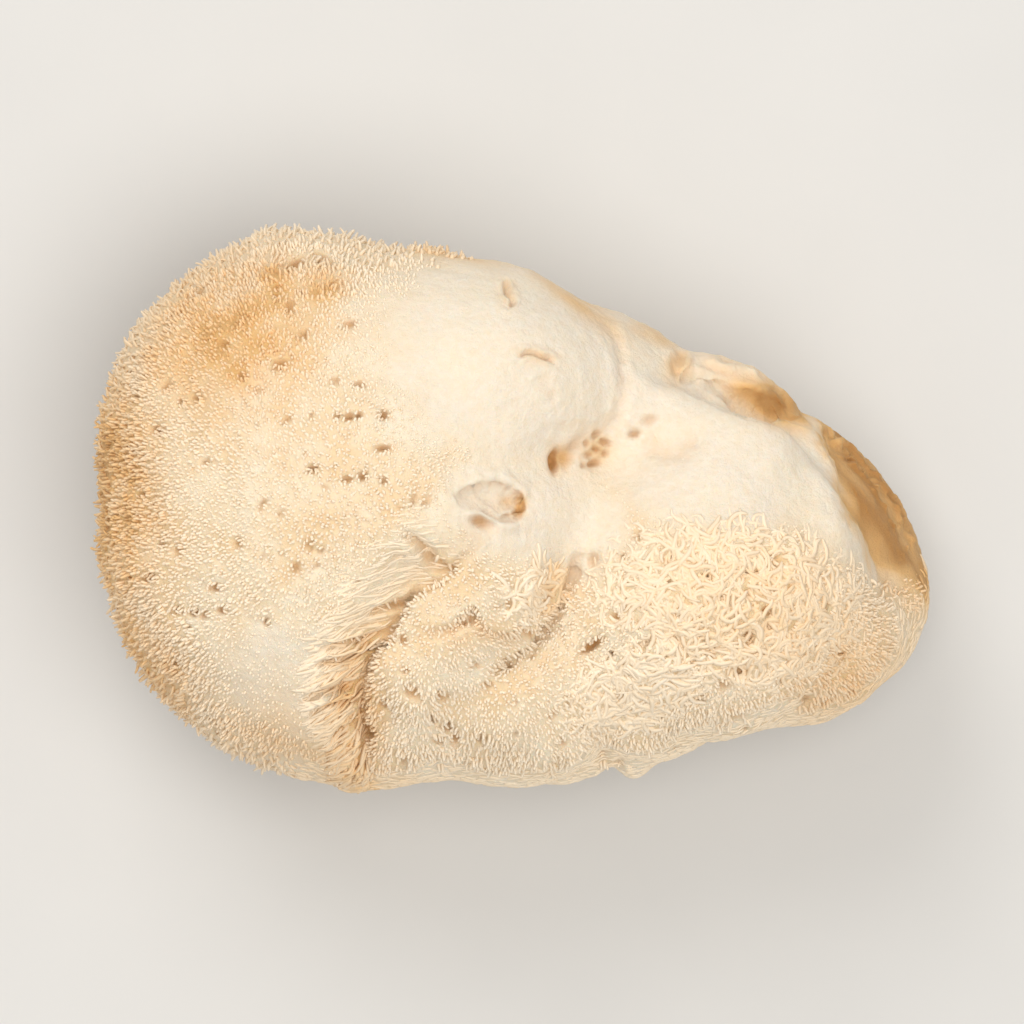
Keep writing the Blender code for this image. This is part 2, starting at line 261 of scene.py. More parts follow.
HOLLOWS = (
    # The eye in the middle.
    Hollow((0.62, 0.8), (0.6, 0.34), 1.1, -60.0),
    Hollow((0.55, 0.1), (0.6, 0.34), 1.2, 50.0),
    Hollow((-0.15, -0.3), (0.6, 0.28), 0.9, 8.0, 0.7),
    Hollow((-1.2, 0.65), (2.3, 0.85), 0.75, -9.0, 0.25),
    Hollow((-2.2, -0.85), (0.8, 0.4), 0.9, -25.0),
    # The deep pit, and the honeycomb beside it.
    Hollow((3.15, 3.7), (0.36, 0.85), 1.6, -8.0),
    Hollow((3.85, 3.95), (0.6, 0.75), 0.9, -20.0, 0.3),
    Hollow((4.4, 4.8), (0.95, 0.42), 0.8, 48.0, 0.6),
    Hollow((6.1, 5.6), (0.34, 0.26), 0.7, 20.0),
    Hollow((6.7, 5.05), (0.36, 0.24), 0.7, -30.0),
    Hollow((5.3, 4.95), (0.3, 0.24), 0.6, 40.0),
    Hollow((6.05, 4.55), (0.34, 0.22), 0.7, -20.0),
    Hollow((5.5, 4.15), (0.3, 0.24), 0.6),
    Hollow((6.6, 4.2), (0.26, 0.3), 0.6),
    Hollow((5.9, 3.5), (0.5, 0.26), 0.8, 14.0),
    Hollow((5.2, 3.4), (0.24, 0.2), 0.5),
    Hollow((8.9, 5.7), (0.4, 0.35), 0.8),
    Hollow((10.0, 6.7), (0.6, 0.4), 0.5, 30.0),
    # Pores of the round head.
    Hollow((-11.8, 6.8), (0.5, 0.3), 0.9),
    Hollow((-11.0, 6.9), (0.3, 0.3), 0.9),
    Hollow((-9.2, 6.9), (0.35, 0.35), 0.9),
    Hollow((-9.3, 4.6), (0.6, 0.3), 0.8, 10.0),
    Hollow((-14.4, 3.2), (0.4, 0.35), 0.9),
    Hollow((-10.8, 2.6), (0.4, 0.35), 0.9),
    Hollow((-11.9, 2.4), (0.35, 0.3), 0.8),
    Hollow((-9.2, 2.3), (0.3, 0.3), 0.7),
    Hollow((-13.7, 18.4), (0.7, 0.35), 0.9, -30.0),
    Hollow((-15.8, 18.0), (0.8, 0.3), 0.8, 20.0),
    Hollow((-16.0, 15.0), (0.3, 0.6), 0.8),
    Hollow((-21.5, -5.5), (0.5, 0.3), 0.9),
    Hollow((-23.1, -7.3), (0.4, 0.3), 0.9),
    Hollow((-22.2, -7.5), (0.4, 0.3), 0.8),
    Hollow((-21.0, -7.1), (0.4, 0.3), 0.8),
    Hollow((-17.8, -8.0), (0.3, 0.3), 0.8),
    Hollow((-26.4, -4.8), (0.5, 0.3), 0.9),
    Hollow((-11.0, 9.3), (0.4, 0.35), 0.7),
    # Pores of the lobes and of the comb.
    Hollow((5.7, -9.8), (0.9, 0.35), 1.2, 33.0),
    Hollow((9.7, -9.5), (0.7, 0.35), 0.8, 45.0),
    Hollow((16.5, -11.6), (0.6, 0.4), 0.9),
    Hollow((14.1, -4.6), (0.6, 0.3), 0.8, -10.0),
    Hollow((16.8, -4.4), (0.6, 0.3), 0.6, 10.0),
    Hollow((15.0, -6.3), (0.6, 0.3), 0.7, 45.0),
    Hollow((11.3, -3.3), (0.4, 0.3), 0.7),
    Hollow((17.2, -9.1), (0.4, 0.6), 0.9),
    Hollow((18.5, -8.3), (0.35, 0.5), 0.8),
    Hollow((7.5, -7.6), (0.45, 0.35), 0.7),
    Hollow((5.9, -3.5), (0.35, 0.6), 0.6, -20.0),
    Hollow((-5.6, -15.1), (0.4, 0.35), 0.9),
    Hollow((-4.7, -15.6), (0.4, 0.35), 0.9),
    Hollow((-4.1, -16.5), (0.35, 0.5), 0.9),
    Hollow((-7.2, -13.1), (0.7, 0.4), 0.7, -40.0),
    Hollow((-2.9, -7.6), (0.6, 0.4), 0.7, 60.0),
    Hollow((1.2, -8.9), (0.7, 0.35), 0.7, -20.0),
    Hollow((-12.0, -12.5), (0.6, 0.35), 0.9, 30.0),
    Hollow((-10.5, -15.9), (0.5, 0.6), 1.0, 60.0),
)

BARE_PATCHES = (
    Patch((0.6, 0.4), (6.4, 4.2), -10.0),
    Patch((4.8, -1.6), (4.6, 3.4), 30.0),
    Patch((1.8, 10.6), (12.8, 9.4), -22.0),
    Patch((9.4, 12.0), (9.4, 6.4), -28.0),
    Patch((14.2, 4.2), (10.4, 6.6), -14.0),
    Patch((17.8, 9.2), (9.8, 7.2), -30.0),
    Patch((27.0, 2.4), (9.6, 7.2), -57.0),
    Patch((22.0, 3.4), (4.6, 4.0)),
    Patch((-16.8, -12.2), (5.6, 4.6), -40.0, 0.55),
    Patch((-14.2, -16.6), (4.0, 2.2), -25.0, 0.55),
)
PORE_LOW = (-28.0, -18.0)  # the part of the top where pores are strewn
PORE_HIGH = (26.0, 18.0)
FAR = 4.0  # reaches from a fold or ledge, beyond which it changes nothing
CREASE_REACH = 8.0  # beyond this the main crease changes nothing
FLANK_REACH = 14.0  # beyond this the edge of the right flank changes nothing
RIM_REACH = 4.5  # how far from the lower rim the spines turn to run along it
DETAIL_REACH = 1.2  # how far from a line or pit the skin is split finer
ROOT_DEPTH = 0.3  # how deep a spine starts inside the flesh
SIDES = 4  # of a spine's cross-section
SWELL_FINE = 8.0  # how many times finer the skin's grain is than its swellings
GRAIN, FELT, STREAK, CHEEK = 0.05, 0.04, 0.06, 0.1  # heights of the skin's fine relief
FOOT_MIDDLE = (-4.0, -0.8)  # the pleats of the underside run out from here
PLEATS = 11
PLEAT_HEIGHT = 1.1
ALONG_FLANK = (0.55, -0.83, 0.0)  # the right flank's crest runs this way
DOWN_FLANK = (0.83, 0.55, -0.6)
CROWN = Kind("crown_spines", steps=1, curl=0.16, tip=0.74, seeds=Seeds(11, 21, 31, 40))
MANE = Kind("mane_spines", steps=5, curl=0.14, tip=0.5, seeds=Seeds(14, 24, 34, 41))
CURLS = Kind("curled_spines", steps=6, curl=0.42, tip=0.6, seeds=Seeds(12, 22, 32, 50), bluntness=5.0)
FIBRES = Kind("combed_fibres", steps=7, curl=0.06, tip=0.5, seeds=Seeds(13, 23, 33, 60))
FLOOR_GAP = 0.35  # the lowest that the middle of a spine comes
FLANK = 0.4  # spines hang instead of standing where the skin's normal rises less than this
BARE_HEIGHTS = (5.0, 9.0)  # between these heights the felted patches fade in
TAN_HEIGHTS = (6.0, 12.0)  # and the tan ones between these
BARE_FADE = (0.56, 1.26)  # where a felted patch fades out, in radii
CURL_FADE = (0.6, 1.15)  # and where a curly one does
CURL_PATCHES = (
    Patch((16.2, -6.8), (12.0, 7.2), -8.0),
    Patch((9.4, -12.8), (6.4, 3.6), 16.0),
    Patch((1.6, -5.8), (3.0, 2.0), 40.0),
)

# Headings of the combed fibres along the main crease, in degrees from +X, and how far they reach.
COMB_PLACES = (0.0, 0.3, 0.6, 0.85, 1.0)
COMB_TURNS = (176.0, 190.0, 212.0, 240.0, 264.0)
COMB_REACH_PLACES = (0.0, 0.45, 1.0)
COMB_REACHES = (6.2, 5.4, 3.2)

TAN_PATCHES = (
    # Bruises and dried spots of the upper left.
    Patch((-20.8, 12.6), (7.4, 5.4), 28.0, 0.72),
    Patch((-17.0, 16.4), (2.0, 1.5), 0.0, 0.85),
    Patch((-14.0, 16.1), (2.2, 1.5), 0.0, 0.7),
    # The left edge: its own tan spines, with painted warm shade and painted reflection.
    Patch((-29.4, 1.4), (4.8, 10.0), 0.0, 0.84),
    Patch((-26.8, -10.2), (3.0, 7.0), 30.0, 0.6),
    # Along the lower left rim.
    Patch((-15.0, -17.0), (8.0, 2.4), -20.0, 0.35),
    # Painted shade in the lower main crease.
    Patch((-10.4, -13.0), (1.4, 6.0), 4.0, 0.5),
    # Painted shade along the top edge.
    Patch((-5.4, 19.5), (6.4, 1.2), -9.0, 0.6),
    # Marks on the upper fold.
    Patch((-0.3, 15.9), (0.8, 1.3), 12.0, 0.26),
    Patch((1.9, 11.3), (1.5, 0.6), -12.0, 0.26),
    # Beside the lobe crease, and along the lower lobe's wrinkle.
    Patch((2.8, -5.6), (1.0, 2.4), -20.0, 0.4),
    Patch((-2.6, -8.6), (3.4, 0.9), 0.0, 0.3),
    # Under the ear: its own brown, with painted shade beneath the flap.
    Patch((19.2, 8.0), (3.6, 1.7), -24.0, 1.05),
    # The rest of the ear, and the notch beside it.
    Patch((17.0, 10.0), (4.6, 2.0), -28.0, 0.26),
    Patch((12.1, 10.6), (1.1, 1.5), -20.0, 0.6),
    # Painted shade along the top right edge.
    Patch((4.4, 15.9), (5.4, 1.2), -40.0, 0.5),
    Patch((10.4, 12.9), (2.6, 0.8), -22.0, 0.45),
    # The curls, and the lower right corner.
    Patch((17.6, -6.8), (8.6, 5.0), -10.0, 0.34),
    Patch((24.4, -11.6), (5.2, 4.4), 20.0, 0.4),
    # The eye and the pits beside it: their own brown, with painted shade on their walls.
    Patch((0.6, 0.4), (0.45, 0.95), -15.0, 0.6),
    Patch((-0.4, 0.7), (0.7, 0.5), 0.0, 0.3),
    Patch((3.6, 3.9), (0.8, 1.0), -20.0, 0.6),
    Patch((6.0, 4.5), (1.2, 1.4), -20.0, 0.4),
)
# The right flank past its crest: its own tan and brown, with painted shade where it turns away from the
# light.
FLANK_TAN_AND_SHADE_PATCHES = (
    Patch((28.8, 1.4), (10.0, 5.2), -57.0, 1.7),
    Patch((24.8, 5.2), (4.0, 3.2), -57.0, 1.2),
)
LOWER_RIM = (
    (-13.0, -18.6), (-8.0, -19.3), (-2.0, -19.8), (4.0, -19.6),
    (9.3, -19.6), (15.0, -17.4), (21.0, -16.4), (26.0, -14.4),
    (29.4, -10.4), (30.6, -7.0), (31.0, -4.0),
)


# The stage, in metres from the solid's origin.
KEY_PLACE, KEY_WIDTH = (-0.20, 0.37, 0.49), 0.4
FILL_PLACE, FILL_WIDTH = (0.1, -0.1, 0.7), 0.5
LIGHT_COLOUR = (1.0, 0.985, 0.96)
SKY_COLOUR = (1.0, 0.98, 0.95)
FLOOR_HALF = 1.5  # from the middle of the floor to its edge
FLOOR_DROP = 0.05  # millimetres that the floor lies below the cut foot


def settings():
    return bpy.context.scene.mushroom


# ---------------------------------------------------------------- measuring


def unit(vectors):
    length = np.linalg.norm(vectors, axis=-1, keepdims=True)
    return vectors / np.maximum(length, 1e-9)


def ramp(value, low, high):
    """Smooth step from 0 at low to 1 at high."""
    share = np.clip((value - low) / (high - low), 0.0, 1.0)
    return share * share * (3.0 - 2.0 * share)


def smooth_line(corners, pieces=6):
    """A Catmull-Rom curve through the corners, as an array of points."""
    knots = np.array(corners)
    knots = np.vstack((2 * knots[0] - knots[1], knots, 2 * knots[-1] - knots[-2]))
    curve = []
    for before, start, end, after in zip(knots, knots[1:], knots[2:], knots[3:]):
        bend = 2 * before - 5 * start + 4 * end - after
        twist = 3 * start - before - 3 * end + after
        for share in np.arange(pieces) / pieces:
            curve.append(0.5 * (2 * start + (end - before) * share + bend * share**2 + twist * share**3))
    return np.array((*curve, knots[-2]))


def distance_to_line(points, corners, within):
    """Seen from above: the distance to a line, positive on its left, and where along it, 0 to 1.

    The line runs smoothly through its corners.  Points that lie further than within from
    its box are infinitely far.
    """
    line = smooth_line(corners)
    middle = (line.min(axis=0) + line.max(axis=0)) / 2
    near = (np.abs(points[:, :2] - middle) < np.ptp(line, axis=0) / 2 + within).all(axis=1)
    gap = np.full(len(points), np.inf)
    place = np.zeros(len(points))
    gap[near], place[near] = distance_near_line(points[near], line)
    return gap, place


def distance_near_line(points, line):
    """The same for points near the line, one stretch of it after another."""
    nearest = np.full(len(points), np.inf)
    side = np.ones(len(points))
    place = np.zeros(len(points))
    total = np.linalg.norm(np.diff(line, axis=0), axis=1).sum()
    done = 0.0
    for start, end in zip(line[:-1], line[1:]):
        along = end - start
        length = np.linalg.norm(along)
        away = points[:, :2] - start
        share = np.clip(away @ along / length**2, 0.0, 1.0)
        gap = np.linalg.norm(away - share[:, None] * along, axis=1)
        closer = gap < nearest
        nearest[closer] = gap[closer]
        side[closer] = np.where(away[closer] @ (-along[1], along[0]) < 0.0, -1.0, 1.0)
        place[closer] = (done + share[closer] * length) / total
        done += length
    return nearest * side, place


def patch_radius(points, patch):
    """How far out in a turned ellipse each point lies: 0 at its middle, 1 on its edge."""
    turn = math.radians(patch.turn)
    away = points[:, :2] - np.array(patch.centre)
    along = away @ np.array((math.cos(turn), math.sin(turn))) / patch.radii[0]
    across = away @ np.array((-math.sin(turn), math.cos(turn))) / patch.radii[1]
    return np.hypot(along, across)


def rumple(points, size, seed):
    """Smooth noise, about -1 to 1, with lumps of the given size."""
    shifted = points / size + (seed * 7.1, seed * 3.7, seed * 5.3)
    return np.array([noise.noise(point) for point in shifted.tolist()])


def bareness(points):
    """1 on the smooth felted areas, 0 in the mane, soft in between."""
    bare = np.zeros(len(points))
    frayed = 0.14 * rumple(points, size=2.6, seed=9)
    for patch in BARE_PATCHES:
        inside = 1.0 - ramp(patch_radius(points, patch) + frayed, *BARE_FADE)
        bare = np.maximum(bare, patch.strength * inside)
    return bare * ramp(points[:, 2], *BARE_HEIGHTS)


def curliness(points, normals):
    """1 where the spines lie flat and curl, on the top of the lower and right lobes."""
    curly = np.zeros(len(points))
    frayed = 0.12 * rumple(points, size=2.2, seed=10)
    for patch in CURL_PATCHES:
        inside = 1.0 - ramp(patch_radius(points, patch) + frayed, *CURL_FADE)
        curly = np.maximum(curly, inside)
    return curly * ramp(normals[:, 2], -0.05, 0.3)


def comb(points, normals):
    """The combed fibres beside the main crease: their direction, and how strong the comb is."""
    gap, place = distance_to_line(points, HEAD_CREASE, CREASE_REACH)
    turn = np.radians(np.interp(place, COMB_PLACES, COMB_TURNS))
    flat = np.stack((np.cos(turn), np.sin(turn), np.zeros(len(points))), axis=1)
    flat = unit(flat - normals * (flat * normals).sum(axis=1, keepdims=True))
    reach = np.interp(place, COMB_REACH_PLACES, COMB_REACHES)
    side = ramp(-gap, -0.4, 0.4) * (1.0 - ramp(-gap / reach, 0.35, 1.0))
    ends = ramp(place, 0.0, 0.06) * ramp(normals[:, 2], -0.2, 0.1)
    return flat, side * ends


def heading_along(corners, place):
    """The direction of a line at places along it, 0 to 1, as flat headings."""
    line = smooth_line(corners)
    steps = np.linalg.norm(np.diff(line, axis=0), axis=1)
    at = np.concatenate(((0.0,), np.cumsum(steps))) / steps.sum()
    along = unit(np.gradient(line, axis=0))
    parts = [np.interp(place, at, along[:, axis]) for axis in (0, 1)]
    return unit(np.stack((*parts, np.zeros(len(place))), axis=1))


def downhill(normals):
    """The steepest way down along the skin, and 0 where it lies level."""
    return normals * normals[:, 2:] - (0.0, 0.0, 1.0)


def flank_streaks(points):
    """Soft bands that run along the right flank below its crest, -1 to 1."""
    flat = np.stack((0.22 * (points @ ALONG_FLANK), points @ DOWN_FLANK, np.zeros(len(points))), axis=1)
    return rumple(flat, size=1.3, seed=11)


def tan_amount(points):
    """How far each point of the surface has turned tan; this also holds painted shade along the top
    edges, in the lower crease, under the ear and on the right flank, and painted warm shade at the left
    edge.
    """
    tan = np.zeros(len(points))
    gap, _ = distance_to_line(points, RIGHT_EDGE, FLANK_REACH)
    frayed = 0.55 * rumple(points, size=1.7, seed=15) + 0.3 * rumple(points, size=0.6, seed=16)
    past_edge = ramp(gap + frayed, -1.4, 0.0)
    for patch in (*TAN_PATCHES, *FLANK_TAN_AND_SHADE_PATCHES):
        share = patch.strength * np.exp(-1.2 * patch_radius(points, patch) ** 2.5)
        if patch in FLANK_TAN_AND_SHADE_PATCHES:
            share = share * past_edge
        tan = np.maximum(tan, share)
    mottle = 0.9 + 0.5 * rumple(points, size=2.2, seed=4)
    return np.clip(tan * ramp(points[:, 2], *TAN_HEIGHTS) * mottle, 0.0, 1.0)


def crease_shade(points):
    """Painted shade: the brown of the gaps between the combed fibres, deepest beside the main crease."""
    gap, place = distance_to_line(points, HEAD_CREASE, CREASE_REACH)
    beside = np.exp(-(((-gap - 0.6) / 1.5) ** 2)) * ramp(-gap, -0.5, 0.1)
    lower = 0.12 + 0.5 * ramp(place, 0.15, 0.6)
    return beside * lower * (0.9 + 0.5 * rumple(points, size=1.4, seed=12))


def strew_pores(count, seed):
    """Small pits strewn over the mane, beside the ones that are laid out."""
    dice = np.random.default_rng(seed)
    spots = dice.uniform(PORE_LOW, PORE_HIGH, (count, 2))
    high = np.column_stack((spots, np.full(count, 30.0)))
    pores = []
    for spot, radius, bare in zip(spots, dice.uniform(0.18, 0.34, count), bareness(high)):
        if bare < 0.3:
            turn = dice.uniform(0.0, 180.0)
            pores.append(Hollow(tuple(spot), (1.3 * radius, radius), 2.4 * radius, turn))
    return tuple(pores)


# ---------------------------------------------------------------- flesh


def read_all(parts, key, width=1, kind=float):
    """One value, or a row of them, from each part of a mesh."""
    values = np.empty(len(parts) * width, dtype=kind)
    parts.foreach_get(key, values)
    return values.reshape(-1, width) if width > 1 else values


def read_points(mesh):
    return read_all(mesh.vertices, "co", 3)


def read_normals(mesh):
    return read_all(mesh.vertex_normals, "vector", 3)


def write_points(mesh, points):
    mesh.vertices.foreach_set("co", points.ravel())
    mesh.update()


def write_attribute(mesh, name, values):
    attribute = mesh.attributes.new(name, "FLOAT", "POINT")
    attribute.data.foreach_set("value", np.asarray(values, dtype=np.float32))


def evaluated_mesh(thing):
    graph = bpy.context.evaluated_depsgraph_get()
    return bpy.data.meshes.new_from_object(thing.evaluated_get(graph))


def fuse_lobes(cell, smoothing):
    """One even skin over all the lobes, in millimetres."""
    shape = bmesh.new()
    for lobe in LOBES:
        turn = Matrix.Rotation(math.radians(lobe.turn), 4, "Z")
        place = Matrix.Translation(lobe.centre) @ turn @ Matrix.Diagonal((*lobe.radii, 1.0))
        bmesh.ops.create_icosphere(shape, subdivisions=5, radius=1.0, matrix=place)
    mesh = bpy.data.meshes.new("lobes")
    shape.to_mesh(mesh)
    shape.free()
    lobes = bpy.data.objects.new("lobes", mesh)
    bpy.context.scene.collection.objects.link(lobes)
    remesh = lobes.modifiers.new("fuse", "REMESH")
    remesh.mode = "VOXEL"
    remesh.voxel_size = cell
    soften = lobes.modifiers.new("soften", "SMOOTH")
    soften.factor = 0.5
    soften.iterations = smoothing
    skin = evaluated_mesh(lobes)
    bpy.data.objects.remove(lobes, do_unlink=True)
    return skin


def refine_detail(mesh):
    """Splits the faces near the ledges, the fine folds and the laid-out pits in four."""
    points = read_points(mesh)
    near = np.zeros(len(points), dtype=bool)
    for line in (*LEDGES, *FINE_FOLDS):
        gap, _ = distance_to_line(points, line.line, DETAIL_REACH)
        near |= np.abs(gap) < DETAIL_REACH
    for hollow in HOLLOWS:
        gap = np.linalg.norm(points[:, :2] - hollow.centre, axis=1)
        near |= gap < DETAIL_REACH + max(hollow.radii)
    near &= read_normals(mesh)[:, 2] > 0.0
    shape = bmesh.new()
    shape.from_mesh(mesh)
    edges = [edge for edge in shape.edges if all(near[end.index] for end in edge.verts)]
    bmesh.ops.subdivide_edges(shape, edges=edges, cuts=1, use_grid_fill=True)
    for _ in range(2):
        bmesh.ops.smooth_vert(
            shape, verts=shape.verts, factor=0.5, use_axis_x=True, use_axis_y=True, use_axis_z=True
        )
    shape.to_mesh(mesh)
    shape.free()


def read_uneven(mesh, reach):
    """Points, normals, and the points moved sideways at random.

    Lines and pits that are pressed where the moved points lie come out uneven.
    """
    points = read_points(mesh)
    moved = points.copy()
    for axis in (0, 1):
        moved[:, axis] += reach * rumple(points, size=1.9, seed=60 + axis)
        moved[:, axis] += 0.5 * reach * rumple(points, size=0.8, seed=70 + axis)
    return points, read_normals(mesh), moved


def press_folds(mesh, folds, uneven):
    """Pushes the top inwards along each fold, with a raised lip on both sides.

    Returns how deep each point was pushed.
    """
    points, normals, seen = read_uneven(mesh, uneven)
    push = np.zeros(len(points))
    lift = np.zeros(len(points))
    for fold in folds:
        gap, place = distance_to_line(seen, fold.line, FAR * fold.reach)
        gap = np.abs(gap)
        fade = np.sqrt(np.clip(np.minimum(place, 1.0 - place) * 6.0, 0.05, 1.0))
        pressed = fold.depth * fade * np.exp(-((gap / fold.reach) ** 2))
        push = np.maximum(push, pressed)
        lift -= np.minimum(pressed, 0.0)
        beside = (gap - 1.7 * fold.reach) / (0.8 * fold.reach)
        lift += fold.lip * fade * np.exp(-(beside**2))
    facing_up = np.clip(normals[:, 2] * 2.5, 0.0, 1.0)
    points += normals * ((lift - push) * facing_up)[:, None]
    write_points(mesh, points)
    return push * facing_up


def raise_bulges(mesh):
    """Lifts the skin inside each bulge, or sinks it where the height is negative."""
    points = read_points(mesh)
    rise = np.zeros(len(points))
    for bulge in BULGES:
        away = (points - bulge.centre) / bulge.radii
        rise += bulge.height * np.exp(-(away**2).sum(axis=1))
    write_points(mesh, points + read_normals(mesh) * rise[:, None])


def press_ledges(mesh, uneven):
    """Drops the skin on the left of each ledge."""
    points, normals, seen = read_uneven(mesh, uneven)
    push = np.zeros(len(points))
    for ledge in LEDGES:
        gap, place = distance_to_line(seen, ledge.line, FAR * ledge.reach)
        fade = np.sqrt(np.clip(np.minimum(place, 1.0 - place) * 6.0, 0.0, 1.0))
        drop = ramp(gap, -0.4 * ledge.run, 0.6 * ledge.run)
        back = np.exp(-((np.maximum(gap, 0.0) / ledge.reach) ** 2))
        push = np.maximum(push, ledge.depth * fade * drop * back)
    facing_up = np.clip(normals[:, 2] * 3.0 + 0.3, 0.0, 1.0)
    points -= normals * (push * facing_up)[:, None]
    write_points(mesh, points)


def press_hollows(mesh, hollows, uneven):
    """Sinks each small pit and returns how much painted shade, in brown, each point gets for its depth.
    """
    points, normals, seen = read_uneven(mesh, uneven)
    push = np.zeros(len(points))
    brown = np.zeros(len(points))
    for hollow in hollows:
        sunk = hollow.depth * np.exp(-(patch_radius(seen, hollow) ** 2.4))
        push = np.maximum(push, sunk)
        brown = np.maximum(brown, hollow.shade * sunk)
    facing_up = np.clip(normals[:, 2] * 2.5, 0.0, 1.0)
    points -= unit(normals + (0.0, 0.0, 1.5)) * (push * facing_up)[:, None]
    write_points(mesh, points)
    return brown * facing_up


def swell(mesh, height, size):
    """Gives the skin its uneven swellings, finer and lower in the felted patches."""
    points = read_points(mesh)
    normals = read_normals(mesh)
    wave = rumple(points, size, seed=1) + 0.45 * rumple(points, size / 2.7, seed=2)
    grain = rumple(points, size / SWELL_FINE, seed=3)
    bare = bareness(points)
    height_here = height * (1.0 - 0.45 * bare) * ramp(points[:, 2], 0.5, 4.0)
    felt = rumple(points, size=0.75, seed=5)
    cheeks = rumple(points, size=2.5, seed=14)
    streaks = flank_streaks(points) * bare * (1.0 - ramp(normals[:, 2], 0.45, 0.8))
    fine = grain * GRAIN + felt * (FELT + FELT * bare) + streaks * STREAK + cheeks * bare * CHEEK
    points += normals * (wave * height_here + fine)[:, None]
    write_points(mesh, points)


def pleat_underside(mesh):
    """Soft pleats that run from the foot out to the edge of the mane."""
    points = read_points(mesh)
    normals = read_normals(mesh)
    away = points[:, :2] - FOOT_MIDDLE
    around = np.arctan2(away[:, 1], away[:, 0])
    drift = rumple(points, size=9.0, seed=6)
    pleats = np.abs(np.sin(around * (PLEATS / 2) + drift * 2.2)) ** 0.6 - 0.6
    below = ramp(-normals[:, 2], 0.1, 0.6) * ramp(points[:, 2], 0.3, 2.0)
    points += normals * (pleats * below * PLEAT_HEIGHT)[:, None]
    write_points(mesh, points)


def flatten_foot(mesh):
    """Presses what lies below the cut up to it, so that the foot ends flat."""
    points = read_points(mesh)
    points[:, 2] = np.maximum(points[:, 2], 0.0)
    write_points(mesh, points)


def fit_to_frame(mesh):
    """Brings the flesh to the solid's box, less the room for its spines."""
    points = read_points(mesh)
    low, high = points.min(axis=0), points.max(axis=0)
    low[2] = 0.0
    want_low = CAD_LOW + MANE_ROOM_LOW
    want_high = CAD_HIGH - MANE_ROOM_HIGH
    scale = (want_high - want_low) / (high - low)
    write_points(mesh, (points - low) * scale + want_low)


def finish_piece(mesh, name, material):
    """Links a mesh made in millimetres as a named piece that rides on the mushroom."""
    mesh.transform(Matrix.Diagonal((MM, MM, MM, 1.0)))
    mesh.name = name
    mesh.materials.clear()
    mesh.materials.append(material)
    mesh.shade_smooth()
    piece = bpy.data.objects.new(name, mesh)
    bpy.context.scene.collection.objects.link(piece)
    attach(piece, BODY)
    return piece


# ---------------------------------------------------------------- materials


class Graph:
    """Builds a material's nodes, one call for each node."""

    def __init__(self, name):
        self.material = bpy.data.materials.new(name)
        self.material.use_nodes = True
        self.tree = self.material.node_tree
        self.shader = self.tree.nodes["Principled BSDF"]

    def add(self, kind, inputs=None, **values):
        node = self.tree.nodes.new(kind)
        for key, value in values.items():
            setattr(node, key, value)
        for key, value in (inputs or {}).items():
            self.feed(node.inputs[key], value)
        return node

    def feed(self, socket, value):
        """Links a socket to an input, or sets the input to a value."""
        if isinstance(value, bpy.types.NodeSocket):
            self.tree.links.new(value, socket)
        else:
            socket.default_value = value

    def set(self, key, value):
        self.feed(self.shader.inputs[key], value)

    def set_bump(self, strength, distance, height):
        inputs = {"Strength": strength, "Distance": distance, "Height": height}
        self.set("Normal", self.add("ShaderNodeBump", inputs).outputs["Normal"])

    def value_of(self, attribute):
        return self.add("ShaderNodeAttribute", attribute_name=attribute).outputs["Fac"]

    def noise(self, size, detail=3.0, roughness=0.55):
        place = self.add("ShaderNodeTexCoord").outputs["Object"]
        inputs = {"Vector": place, "Scale": 1.0 / size, "Detail": detail, "Roughness": roughness}
        return self.add("ShaderNodeTexNoise", inputs).outputs["Fac"]

    def range(self, value, low, high, to_low=0.0, to_high=1.0):
        inputs = {"Value": value, "From Min": low, "From Max": high, "To Min": to_low, "To Max": to_high}
        return self.add("ShaderNodeMapRange", inputs).outputs["Result"]

    def multiply(self, one, other):
        return self.add("ShaderNodeMath", {0: one, 1: other}, operation="MULTIPLY").outputs[0]

    def mix(self, share, one, other):
        """Blends two colours, given as sockets or as red, green and blue."""
        colours = [end if isinstance(end, bpy.types.NodeSocket) else (*end, 1.0) for end in (one, other)]
        inputs = {0: share, 6: colours[0], 7: colours[1]}
        return self.add("ShaderNodeMix", inputs, data_type="RGBA").outputs[2]


def set_soft_surface(graph, look):
    graph.set("Roughness", look.roughness)
    graph.set("Sheen Weight", 0.05)
    graph.set("Sheen Roughness", 0.6)
    graph.set("Specular IOR Level", 0.25)


def add_tan(graph, colour, look):
    """Turns a colour tan, and brown where the tan is deepest. The tan holds painted shade as well as
    bruises.
    """
    tan = graph.value_of("tan")
    streaks = graph.range(graph.value_of("streak"), -0.35, 0.35, 0.5, 1.0)
    colour = graph.mix(graph.range(tan, 0.0, 0.65), colour, look.tan)
    deep = graph.multiply(graph.range(tan, 0.55, 0.95), streaks)
    return graph.mix(deep, colour, look.brown)


